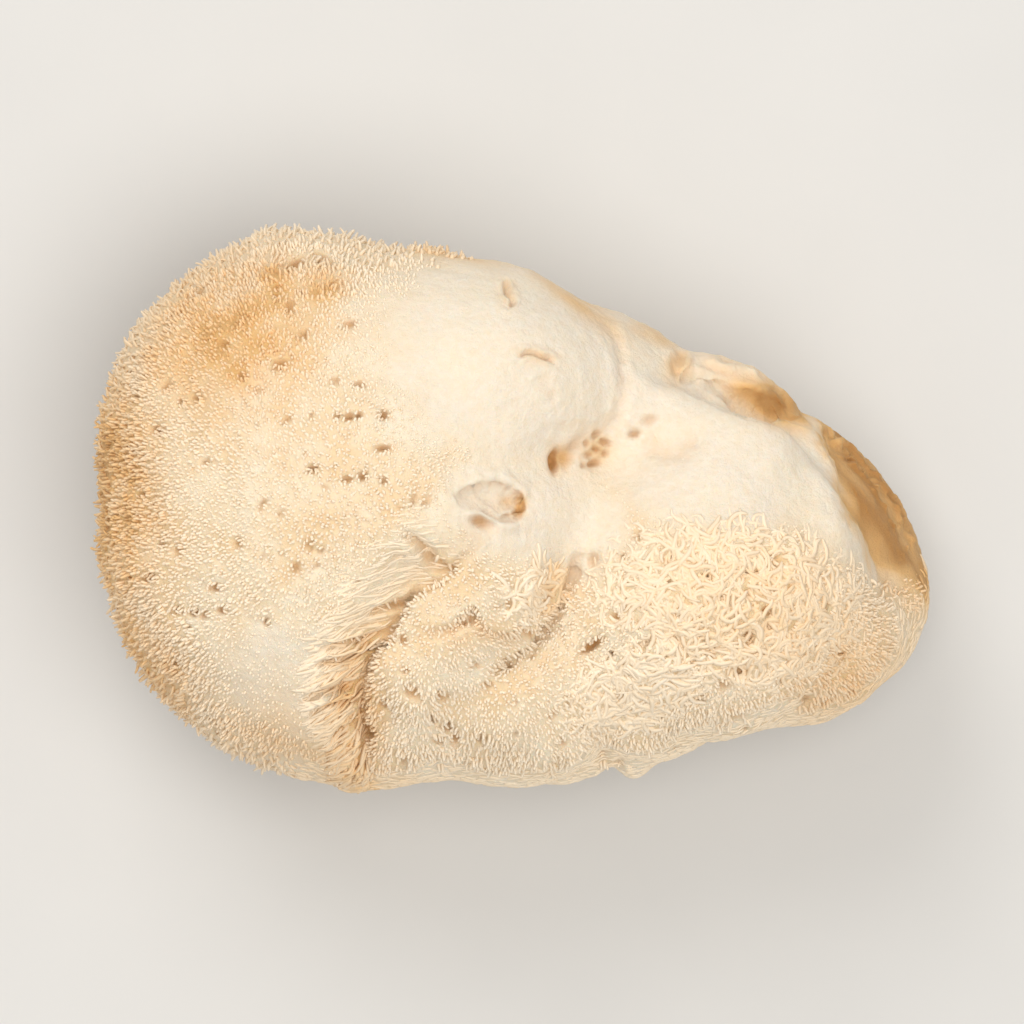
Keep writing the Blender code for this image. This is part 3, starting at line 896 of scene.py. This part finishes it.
def make_flesh_material():
    look = settings().look
    graph = Graph("mushroom_flesh")
    bare = graph.value_of("bare")
    patchy = graph.range(graph.noise(0.0035), 0.35, 0.65)
    cream = graph.mix(patchy, look.cream, look.warm)
    blotches = graph.range(graph.noise(0.005), 0.35, 0.7, 0.0, 0.55)
    white = graph.mix(blotches, look.white, look.cream)
    skin = graph.mix(bare, cream, white)
    fibres = graph.range(graph.noise(0.0006, detail=5.0), 0.3, 0.7, 0.0, 0.35)
    skin = graph.mix(fibres, skin, look.warm)
    skin = add_tan(graph, skin, look)
    # Painted shade: pits and folds turn brown with their depth, browner where uneven.
    uneven = graph.range(graph.noise(0.0008, detail=4.0), 0.4, 0.65, 0.0, 0.6)
    pit_and_fold_shade = graph.mix(uneven, look.hollow, look.brown)
    skin = graph.mix(graph.value_of("hollow"), skin, pit_and_fold_shade)
    graph.set("Base Color", skin)
    graph.set("Subsurface Weight", look.softness)
    graph.set("Subsurface Radius", (1.0, 0.8, 0.6))
    graph.set("Subsurface Scale", 0.0005)
    set_soft_surface(graph, look)
    graph.set_bump(0.7, 0.0004, graph.noise(0.0005, detail=6.0, roughness=0.7))
    return graph.material


def make_spine_material(name):
    look = settings().look
    graph = Graph(name)
    # Painted shade at the roots: each spine runs warmer and darker towards the flesh, where the spines
    # shade each other.
    along = graph.range(graph.value_of("tip"), 0.0, 0.4, 0.55, 1.0)
    colour = graph.mix(along, look.warm, look.spine)
    colour = graph.mix(graph.range(graph.value_of("tip"), 0.5, 1.0), colour, look.tip)
    colour = graph.mix(graph.multiply(graph.value_of("tone"), 0.2), colour, look.warm)
    colour = add_tan(graph, colour, look)
    mottle = graph.range(graph.noise(0.0012), 0.3, 0.7, 0.0, 0.2)
    colour = graph.mix(mottle, colour, look.warm)
    graph.set("Base Color", colour)
    set_soft_surface(graph, look)
    graph.set_bump(0.2, 0.0001, graph.noise(0.0003))
    return graph.material


# ---------------------------------------------------------------- spines


def smooth_normals(mesh, passes):
    """Normals averaged with their neighbours, so that the felt's grain doesn't tilt spines."""
    normals = read_normals(mesh)
    one, other = read_all(mesh.edges, "vertices", 2, np.int32).T
    for _ in range(passes):
        total = normals.copy()
        np.add.at(total, one, normals[other])
        np.add.at(total, other, normals[one])
        normals = unit(total)
    return normals


class Skin:
    """The finished flesh as the spines need it: places to root, and a surface to lie on."""

    def __init__(self, mesh):
        self.points = read_points(mesh)
        self.normals = smooth_normals(mesh, 5)
        corners = read_all(mesh.loops, "vertex_index", kind=np.int32)
        starts = read_all(mesh.polygons, "loop_start", kind=np.int32)
        whole = read_all(mesh.polygons, "loop_total", kind=np.int32) == 4
        self.quads = corners[starts[whole][:, None] + np.arange(4)]
        self.areas = read_all(mesh.polygons, "area")[whole]
        self.facing = unit(self.normals[self.quads].mean(axis=1))
        self.tree = BVHTree.FromPolygons(self.points.tolist(), self.quads.tolist())

    def scatter(self, spacing, chance_of, seed):
        """Roots and normals spread evenly, about one in each circle of the given spacing."""
        dice = np.random.default_rng(seed)
        tries = int(self.areas.sum() / spacing**2 * 4)
        faces = dice.choice(len(self.quads), tries, p=self.areas / self.areas.sum())
        across, along = dice.random((2, tries, 1))
        corners = self.points[self.quads[faces]]
        near = corners[:, 0] * (1 - across) + corners[:, 1] * across
        far = corners[:, 3] * (1 - across) + corners[:, 2] * across
        roots = near * (1 - along) + far * along
        normals = unit(self.normals[self.quads[faces]].mean(axis=1))
        wanted = dice.random(tries) < chance_of(roots, normals)
        roots, normals = roots[wanted], normals[wanted]
        tree = KDTree(len(roots))
        for index, root in enumerate(roots):
            tree.insert(root, index)
        tree.balance()
        free = np.ones(len(roots), dtype=bool)
        kept = []
        for index, root in enumerate(roots):
            if free[index]:
                kept.append(index)
                for _, other, _ in tree.find_range(root, spacing):
                    free[other] = False
        return roots[kept], normals[kept]

    def rest_on(self, points, clearance, hug):
        """Lifts points that lie closer to the flesh than their clearance.

        Points that lie further away are drawn back by the share hug.
        """
        nearest = [self.tree.find_nearest(point) for point in points]
        places = np.array([hit[0] for hit in nearest])
        facing = self.facing[[hit[2] for hit in nearest]]
        missing = clearance - ((points - places) * facing).sum(axis=1)
        share = np.where(missing > 0.0, 1.0, hug)
        return points + facing * (missing * share)[:, None], facing


def grow_paths(skin, roots, normals, heading, lengths, kind, *, droop, clearance, hug):
    """Paths of growing spines: they sink under their weight, curl and rest on the flesh.

    droop is the pull downwards, clearance the least height of a spine's middle over the
    flesh, and hug how firmly a spine keeps to it, from 0, free, to 1, lying on it.
    """
    dice = np.random.default_rng(kind.seeds.path)
    points = roots - normals * ROOT_DEPTH
    heading = heading.copy()
    hug = np.broadcast_to(hug, len(roots))
    path = [points]
    bend = dice.normal(0.0, kind.curl, (len(roots), 3))
    for _ in range(kind.steps):
        bend = 0.75 * bend + 0.5 * dice.normal(0.0, kind.curl, (len(roots), 3))
        heading = heading + np.cross(bend, heading)
        heading[:, 2] -= droop
        heading = unit(heading)
        points = points + heading * (lengths / kind.steps)[:, None]
        points, facing = skin.rest_on(points, clearance, hug)
        points[:, 2] = np.maximum(points[:, 2], FLOOR_GAP)
        outward = (heading * facing).sum(axis=1, keepdims=True)
        heading = unit(heading - facing * outward * hug[:, None])
        path.append(points)
    return np.stack(path, axis=1)


def sweep(paths, radii, sides):
    """Round tapering tubes along the paths, closed at the root and the tip."""
    count, rings, _ = paths.shape
    along = unit(np.gradient(paths, axis=1))
    side = unit(np.cross(along[:, 0], (0.31, 0.47, 0.83)))
    angles = np.arange(sides) * 2 * math.pi / sides
    body = np.empty((count, rings, sides, 3))
    for ring in range(rings):
        side = unit(side - along[:, ring] * (side * along[:, ring]).sum(axis=1, keepdims=True))
        other = np.cross(along[:, ring], side)
        for number, angle in enumerate(angles):
            spoke = side * math.cos(angle) + other * math.sin(angle)
            body[:, ring, number] = paths[:, ring] + spoke * radii[:, ring, None]
    tip = paths[:, -1] + along[:, -1] * radii[:, -1, None]
    stub = paths[:, 0]
    points = np.concatenate((body.reshape(count, -1, 3), tip[:, None], stub[:, None]), axis=1)
    quads, ends = [], []
    for number in range(sides):
        after = (number + 1) % sides
        for ring in range(rings - 1):
            low, high = ring * sides, (ring + 1) * sides
            quads.append((low + number, low + after, high + after, high + number))
        last = (rings - 1) * sides
        ends.append((last + number, last + after, rings * sides))
        ends.append((after, number, rings * sides + 1))
    shift = (np.arange(count) * (rings * sides + 2))[:, None, None]
    faces = (np.array(quads)[None] + shift).reshape(-1, 4).tolist()
    faces += (np.array(ends)[None] + shift).reshape(-1, 3).tolist()
    return points, faces


def make_spines(name, paths, radii, material, kind):
    """Builds one piece from spines that share a material."""
    dice = np.random.default_rng(kind.seeds.tone)
    points, faces = sweep(paths, radii, SIDES)
    mesh = bpy.data.meshes.new(name)
    flat = points.reshape(-1, 3)
    mesh.from_pydata(flat, [], faces)
    count, each, _ = points.shape
    rings = paths.shape[1]
    share = np.repeat(np.linspace(0.0, 1.0, rings), SIDES)
    share = np.concatenate((share, (1.0, 0.0)))
    write_attribute(mesh, "tip", np.tile(share, count))
    write_attribute(mesh, "tone", np.repeat(dice.random(count), each))
    # The tan at each root, with the painted shade of the main crease.
    roots = np.maximum(tan_amount(paths[:, 0]), 0.8 * crease_shade(paths[:, 0]))
    write_attribute(mesh, "tan", np.repeat(roots * dice.uniform(0.6, 1.1, count), each))
    return finish_piece(mesh, name, material)


def taper(count, thickness, kind, dice):
    """Radius at each ring: full along most of a spine, then down to its tip."""
    along = np.linspace(0.0, 1.0, kind.steps + 1)
    profile = 1.0 - (1.0 - kind.tip) * along**kind.bluntness
    return thickness / 2 * profile[None] * dice.uniform(0.8, 1.2, (count, 1))


def furred(roots):
    """1 where the mane stands packed, 0 where the flesh is felted."""
    return np.clip(1.2 - 1.9 * bareness(roots), 0.0, 1.0)


def mane_chance(roots, normals):
    """Where spines stand: not in pits, on the foot or on the underside."""
    chance = ramp(normals[:, 2], -0.95, -0.8) * ramp(roots[:, 2], 1.6, 4.0)
    for hollow in GROWN["hollows"]:
        away = np.abs(roots[:, :2] - hollow.centre).max(axis=1)
        near = np.flatnonzero((away < 1.2 * max(hollow.radii)) & (normals[:, 2] > 0.0))
        pit = patch_radius(roots[near], hollow) < 1.2
        chance[near[pit]] = 0.0
    return chance


def make_pieces(names, paths, radii, normals, kind):
    """Splits the spines by the way they face into pieces with the given names."""
    material = make_spine_material(kind.material)
    turn = np.arctan2(normals[:, 1], normals[:, 0]) / (2 * math.pi) + 0.5
    sector = np.floor(turn * len(names)).astype(int) % len(names)
    for number, name in enumerate(names):
        chosen = sector == number
        make_spines(name, paths[chosen], radii[chosen], material, kind)


# ---------------------------------------------------------------- settings


def colour_property(name, description, default):
    return FloatVectorProperty(name=name, description=description, subtype="COLOR", default=default)


def share_property(name, description, default):
    return FloatProperty(name=name, description=description, subtype="FACTOR", default=default)


def length_property(name, description, default):
    return FloatProperty(name=name, description=description, unit="LENGTH", precision=5, default=default)


def power_property(name, description, default):
    return FloatProperty(name=name, description=description, subtype="POWER", default=default)


class LookSettings(bpy.types.PropertyGroup):
    """Colours and finish of flesh and spines."""

    white: colour_property("Felt", "Smooth felted flesh", (0.94, 0.84, 0.715))
    cream: colour_property("Cream", "Flesh of the mane", (0.98, 0.855, 0.675))
    # Warm also darkens the roots of the spines as painted shade.
    warm: colour_property("Warm", "Deeper cream in the mottling", (0.91, 0.70, 0.45))
    spine: colour_property("Spine", "Spines along their length", (0.955, 0.82, 0.635))
    tip: colour_property("Tip", "Tips of the spines", (0.96, 0.845, 0.68))
    # Tan also stands for painted shade along the top edges, in the crease, under the ear and on the right
    # flank, and painted warm shade at the left edge.
    tan: colour_property("Tan", "Bruised and dried areas", (0.87, 0.55, 0.24))
    # Brown also stands for painted shade: the deepest on the right flank, and in pits and folds.
    brown: colour_property("Brown", "Deepest of the bruised areas", (0.50, 0.25, 0.075))
    # Hollow is painted shade in the depths of pits and folds, on top of their own brown.
    hollow: colour_property("Hollow", "Depths of pits and folds", (0.70, 0.41, 0.17))
    roughness: share_property("Roughness", "Roughness of the surface", 0.62)
    softness: share_property("Softness", "Share of light that enters the flesh", 0.4)


class FleshSettings(bpy.types.PropertyGroup):
    """Sizes of the flesh."""

    cell: length_property("Cell", "Side of one cell of the skin", 0.0008)
    smoothing: IntProperty(
        name="Smoothing", description="Passes that round the joins between lobes", default=14
    )
    swelling: length_property("Swelling", "Height of the uneven swellings", 0.0004)
    swelling_size: length_property("Swelling size", "Width of one swelling", 0.006)
    pores: IntProperty(name="Pores", description="Small pits strewn over the top", default=220)


class ManeSettings(bpy.types.PropertyGroup):
    """Sizes of the spines."""

    crown_spacing: length_property("Crown spacing", "Distance between spines on top", 0.00023)
    crown_length: length_property("Crown length", "How far the spines on top stand out", 0.00020)
    crown_thickness: length_property("Crown thickness", "Width of a spine on top", 0.00028)
    hang_spacing: length_property("Hanging spacing", "Distance between hanging spines", 0.00052)
    hang_length: length_property("Hanging length", "Length of the spines on the flanks", 0.0032)
    hang_thickness: length_property("Hanging thickness", "Width of a hanging spine", 0.00042)
    curl_spacing: length_property("Curl spacing", "Distance between two curled spines", 0.00028)
    curl_length: length_property("Curl length", "Length of the curled spines", 0.0020)
    curl_thickness: length_property("Curl thickness", "Width of a curled spine", 0.00038)
    fibre_spacing: length_property("Fibre spacing", "Distance between combed fibres", 0.00034)
    fibre_length: length_property("Fibre length", "Length of the combed fibres", 0.0026)
    fibre_thickness: length_property("Fibre thickness", "Width of a combed fibre", 0.00030)


class StageSettings(bpy.types.PropertyGroup):
    """Camera, light and floor."""

    view_width: length_property("View width", "Width that the camera sees", 0.076)
    camera_height: length_property("Camera height", "Height of the camera", 1.2)
    floor_colour: colour_property("Floor", "Colour of the floor", (0.70, 0.69, 0.67))
    key_power: power_property("Key light", "Power of the large soft light", 1.4)
    fill_power: power_property("Fill light", "Power of the overhead light", 2.5)
    sky: FloatProperty(
        name="Sky", description="Strength of the light from all round", default=0.53
    )


class MushroomSettings(bpy.types.PropertyGroup):
    """All settings of the mushroom."""

    look: PointerProperty(type=LookSettings)
    flesh: PointerProperty(type=FleshSettings)
    mane: PointerProperty(type=ManeSettings)
    stage: PointerProperty(type=StageSettings)


# ---------------------------------------------------------------- operators


GROWN = {}  # the finished skin, which the spine operators root in


class MUSHROOM_OT_grow_flesh(bpy.types.Operator):
    """Grow the flesh: fused lobes with folds, pits, swellings and a flat cut foot"""

    bl_idname = "mushroom.grow_flesh"
    bl_label = "Grow Flesh"

    def execute(self, context):
        size = settings().flesh
        coarse = fuse_lobes(size.cell / MM, size.smoothing)
        press_folds(coarse, BROAD_FOLDS, uneven=0.6)
        fit_to_frame(coarse)
        pleat_underside(coarse)
        carrier = bpy.data.objects.new("flesh_carrier", coarse)
        context.scene.collection.objects.link(carrier)
        carrier.modifiers.new("relax", "SMOOTH").iterations = 2
        carrier.modifiers.new("refine", "SUBSURF").levels = 1
        mesh = evaluated_mesh(carrier)
        bpy.data.objects.remove(carrier, do_unlink=True)
        refine_detail(mesh)
        swell(mesh, size.swelling / MM, size.swelling_size / MM)
        raise_bulges(mesh)
        press_ledges(mesh, uneven=0.25)
        depth = press_folds(mesh, FINE_FOLDS, uneven=0.3)
        GROWN["hollows"] = HOLLOWS + strew_pores(size.pores, seed=90)
        depth = np.maximum(depth, 1.5 * press_hollows(mesh, GROWN["hollows"], uneven=0.2))
        flatten_foot(mesh)
        points = read_points(mesh)
        write_attribute(mesh, "bare", bareness(points))
        curly = curliness(points, read_normals(mesh))
        tan = np.maximum(tan_amount(points), 0.12 * curly**2)
        # The painted shade of the main crease is kept with the tan.
        tan = np.maximum(tan, crease_shade(points))
        cut = (1.0 - ramp(points[:, 2], 0.0, 0.6)) * (0.32 + 0.3 * rumple(points, size=1.1, seed=13))
        write_attribute(mesh, "tan", np.maximum(tan, cut))
        write_attribute(mesh, "streak", flank_streaks(points))
        # Painted shade: pits and folds turn brown the deeper they were pressed.
        write_attribute(mesh, "hollow", np.clip(depth / 1.6, 0.0, 1.0) ** 1.2)
        GROWN["skin"] = Skin(mesh)
        flesh = finish_piece(mesh, "flesh", make_flesh_material())
        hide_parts(NODE)
        return {"FINISHED"}


class MUSHROOM_OT_grow_crown(bpy.types.Operator):
    """Grow the short blunt spines that stand packed on top, fading into the felted areas"""

    bl_idname = "mushroom.grow_crown"
    bl_label = "Grow Crown"

    def execute(self, context):
        size = settings().mane
        skin = GROWN["skin"]
        dice = np.random.default_rng(CROWN.seeds.size)

        def chance(roots, normals):
            _, combed = comb(roots, normals)
            straight = (1.0 - curliness(roots, normals)) * (1.0 - 0.9 * combed)
            return mane_chance(roots, normals) * furred(roots) * straight * (normals[:, 2] > FLANK)

        roots, normals = skin.scatter(size.crown_spacing / MM, chance, CROWN.seeds.place)
        count = len(roots)
        flat, combed = comb(roots, normals)
        lengths = size.crown_length / MM * (1.0 + 0.5 * rumple(roots, size=2.6, seed=8))
        lengths *= dice.uniform(0.7, 1.3, count)
        lengths *= (1.0 - 0.95 * bareness(roots)) * (1.0 + 1.1 * ramp(0.85 - normals[:, 2], 0.0, 0.45))
        lengths += ROOT_DEPTH
        heading = unit(
            normals * (1.0 - 0.7 * combed)[:, None]
            + 0.75 * downhill(normals)
            + flat * combed[:, None]
            + 0.24 * dice.normal(0.0, 1.0, (count, 3))
        )
        paths = grow_paths(
            skin, roots, normals, heading, lengths, CROWN,
            droop=0.03, clearance=-ROOT_DEPTH, hug=0.6 * combed,
        )
        radii = taper(count, size.crown_thickness / MM, CROWN, dice)
        radii *= (1.0 - 0.3 * bareness(roots))[:, None]
        names = ("crown_left_front", "crown_right", "crown_left_back")
        make_pieces(names, paths, radii, normals, CROWN)
        return {"FINISHED"}


class MUSHROOM_OT_grow_mane(bpy.types.Operator):
    """Grow the mane: spines that hang down the flanks, longest low down"""

    bl_idname = "mushroom.grow_mane"
    bl_label = "Grow Mane"

    def execute(self, context):
        size = settings().mane
        skin = GROWN["skin"]
        dice = np.random.default_rng(MANE.seeds.size)

        def chance(roots, normals):
            straight = 1.0 - curliness(roots, normals)
            return mane_chance(roots, normals) * furred(roots) * straight * (normals[:, 2] <= FLANK)

        roots, normals = skin.scatter(size.hang_spacing / MM, chance, MANE.seeds.place)
        count = len(roots)
        hang = 1.0 - ramp(normals[:, 2], -0.7, 0.15)
        start = 2.1 * size.crown_length / MM
        lengths = (start + (size.hang_length / MM - start) * hang) * dice.uniform(0.75, 1.2, count)
        gap, place = distance_to_line(roots, LOWER_RIM, RIM_REACH)
        rimmed = (1.0 - ramp(np.abs(gap), 2.0, RIM_REACH)) * ramp(roots[:, 2], 7.0, 11.0)
        lengths *= 1.0 - 0.7 * bareness(roots)
        lengths *= (1.0 + 0.6 * rimmed) * (1.0 - 0.55 * ramp(-normals[:, 2], 0.55, 0.9))
        heading = unit(
            (normals * (0.5 - 0.1 * hang)[:, None] + 0.95 * downhill(normals)) * (1.0 - rimmed)[:, None]
            + heading_along(LOWER_RIM, place) * rimmed[:, None]
            + 0.2 * dice.normal(0.0, 1.0, (count, 3))
        )
        paths = grow_paths(
            skin, roots, normals, heading, lengths + ROOT_DEPTH, MANE,
            droop=(0.06 + 0.35 * hang) * (1.0 - rimmed), clearance=0.08 - 0.1 * rimmed, hug=0.9 * rimmed,
        )
        radii = taper(count, size.hang_thickness / MM, MANE, dice)
        radii *= (0.72 + 0.28 * hang)[:, None]
        names = ("mane_left_front", "mane_right_front", "mane_right_back", "mane_left_back")
        make_pieces(names, paths, radii, normals, MANE)
        return {"FINISHED"}


class MUSHROOM_OT_grow_curls(bpy.types.Operator):
    """Grow the curled spines that lie tangled on the lower and right lobes"""

    bl_idname = "mushroom.grow_curls"
    bl_label = "Grow Curled Spines"

    def execute(self, context):
        size = settings().mane
        skin = GROWN["skin"]
        dice = np.random.default_rng(CURLS.seeds.size)

        def chance(roots, normals):
            return mane_chance(roots, normals) * curliness(roots, normals)

        roots, normals = skin.scatter(size.curl_spacing / MM, chance, CURLS.seeds.place)
        count = len(roots)
        heading = dice.normal(0.0, 1.0, (count, 3))
        heading = unit(heading - normals * (heading * normals).sum(axis=1, keepdims=True))
        edge = 1.0 - curliness(roots, normals)
        lengths = size.curl_length / MM * dice.uniform(0.6, 1.3, count) * (1.0 - 0.75 * edge)
        clearance = dice.uniform(-0.12, 0.12, count) - 0.36 * edge
        paths = grow_paths(
            skin, roots, normals, heading, lengths, CURLS,
            droop=0.02, clearance=clearance, hug=1.0,
        )
        radii = taper(count, size.curl_thickness / MM, CURLS, dice)
        radii *= (1.0 - 0.35 * edge)[:, None]
        make_pieces(("curls_lower", "curls_right"), paths, radii, normals, CURLS)
        return {"FINISHED"}


class MUSHROOM_OT_comb_fibres(bpy.types.Operator):
    """Lay the combed fibres that run from the main crease out over the round head"""

    bl_idname = "mushroom.comb_fibres"
    bl_label = "Comb Fibres"

    def execute(self, context):
        size = settings().mane
        skin = GROWN["skin"]
        dice = np.random.default_rng(FIBRES.seeds.size)

        def chance(roots, normals):
            _, combed = comb(roots, normals)
            return np.clip(1.6 * combed, 0.0, 1.0) * (1.0 - curliness(roots, normals))

        roots, normals = skin.scatter(size.fibre_spacing / MM, chance, FIBRES.seeds.place)
        count = len(roots)
        flat, combed = comb(roots, normals)
        lengths = size.fibre_length / MM * dice.uniform(0.6, 1.2, count) * (0.35 + 0.65 * combed)
        gap, place = distance_to_line(roots, HEAD_CREASE, CREASE_REACH)
        lower = ramp(place, 0.3, 0.6)
        raised = (1.0 - ramp(-gap, 0.5, 3.0)) * lower
        heading = unit(flat + 0.06 * normals + 0.1 * dice.normal(0.0, 1.0, (count, 3)))
        clearance = dice.uniform(-0.12, 0.0, count) + 0.3 * raised * dice.random(count)
        paths = grow_paths(
            skin, roots, normals, heading, lengths, FIBRES,
            droop=0.0, clearance=clearance, hug=1.0,
        )
        radii = taper(count, size.fibre_thickness / MM, FIBRES, dice)
        radii *= (0.8 + 0.35 * lower)[:, None]
        make_pieces(("combed_fibres",), paths, radii, normals, FIBRES)
        return {"FINISHED"}


class MUSHROOM_OT_set_stage(bpy.types.Operator):
    """Set the camera straight above, a large soft light, an overhead fill and a pale floor"""

    bl_idname = "mushroom.set_stage"
    bl_label = "Set Stage"

    def execute(self, context):
        stage = settings().stage
        scene = context.scene
        data = bpy.data.cameras.new("camera")
        data.sensor_width = 36.0
        data.lens = data.sensor_width * stage.camera_height / stage.view_width
        data.clip_start = 0.01
        data.clip_end = 10.0
        camera = bpy.data.objects.new("camera", data)
        camera.location = (0.0, 0.0, stage.camera_height)
        scene.collection.objects.link(camera)
        scene.camera = camera
        add_area_light("key_light", KEY_PLACE, KEY_WIDTH, stage.key_power)
        add_area_light("fill_light", FILL_PLACE, FILL_WIDTH, stage.fill_power)
        world = bpy.data.worlds.new("soft_room")
        world.use_nodes = True
        sky = world.node_tree.nodes["Background"]
        sky.inputs["Color"].default_value = (*SKY_COLOUR, 1.0)
        sky.inputs["Strength"].default_value = stage.sky
        scene.world = world
        scene.view_settings.view_transform = "Standard"
        make_floor(stage.floor_colour)
        return {"FINISHED"}


def add_area_light(name, place, size, power):
    data = bpy.data.lights.new(name, "AREA")
    data.color = LIGHT_COLOUR
    data.shape = "DISK"
    data.size = size
    data.energy = power
    light = bpy.data.objects.new(name, data)
    light.location = place
    light.rotation_euler = (-Vector(place)).to_track_quat("-Z", "Y").to_euler()
    bpy.context.scene.collection.objects.link(light)


def make_floor(colour):
    mesh = bpy.data.meshes.new("floor")
    shape = bmesh.new()
    bmesh.ops.create_grid(shape, x_segments=1, y_segments=1, size=FLOOR_HALF)
    shape.to_mesh(mesh)
    shape.free()
    floor = bpy.data.objects.new("floor", mesh)
    floor.location.z = -FLOOR_DROP * MM
    graph = Graph("floor_paint")
    tone = graph.range(graph.noise(0.02, detail=2.0), 0.3, 0.7)
    darker = tuple(0.97 * part for part in colour)
    graph.set("Base Color", graph.mix(tone, colour, darker))
    graph.set("Roughness", 0.85)
    mesh.materials.append(graph.material)
    bpy.context.scene.collection.objects.link(floor)


class MUSHROOM_PT_panel(bpy.types.Panel):
    """Settings and steps of the mushroom"""

    bl_idname = "MUSHROOM_PT_panel"
    bl_label = "Lion's Mane Mushroom"
    bl_space_type = "VIEW_3D"
    bl_region_type = "UI"
    bl_category = "Mushroom"

    def draw(self, context):
        for group in (settings().look, settings().flesh, settings().mane, settings().stage):
            box = self.layout.box()
            for key in group.__annotations__:
                box.prop(group, key)
        for step in STEPS:
            self.layout.operator(step.bl_idname)


STEPS = (
    MUSHROOM_OT_grow_flesh,
    MUSHROOM_OT_grow_crown,
    MUSHROOM_OT_grow_mane,
    MUSHROOM_OT_grow_curls,
    MUSHROOM_OT_comb_fibres,
    MUSHROOM_OT_set_stage,
)
CLASSES = (
    LookSettings,
    FleshSettings,
    ManeSettings,
    StageSettings,
    MushroomSettings,
    *STEPS,
    MUSHROOM_PT_panel,
)


def register():
    for kind in CLASSES:
        bpy.utils.register_class(kind)
    bpy.types.Scene.mushroom = PointerProperty(type=MushroomSettings)


def unregister():
    del bpy.types.Scene.mushroom
    for kind in reversed(CLASSES):
        bpy.utils.unregister_class(kind)


def main():
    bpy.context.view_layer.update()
    register()
    bpy.ops.mushroom.grow_flesh()
    bpy.ops.mushroom.grow_crown()
    bpy.ops.mushroom.grow_mane()
    bpy.ops.mushroom.grow_curls()
    bpy.ops.mushroom.comb_fibres()
    bpy.ops.mushroom.set_stage()


if __name__ == "__main__":
    main()
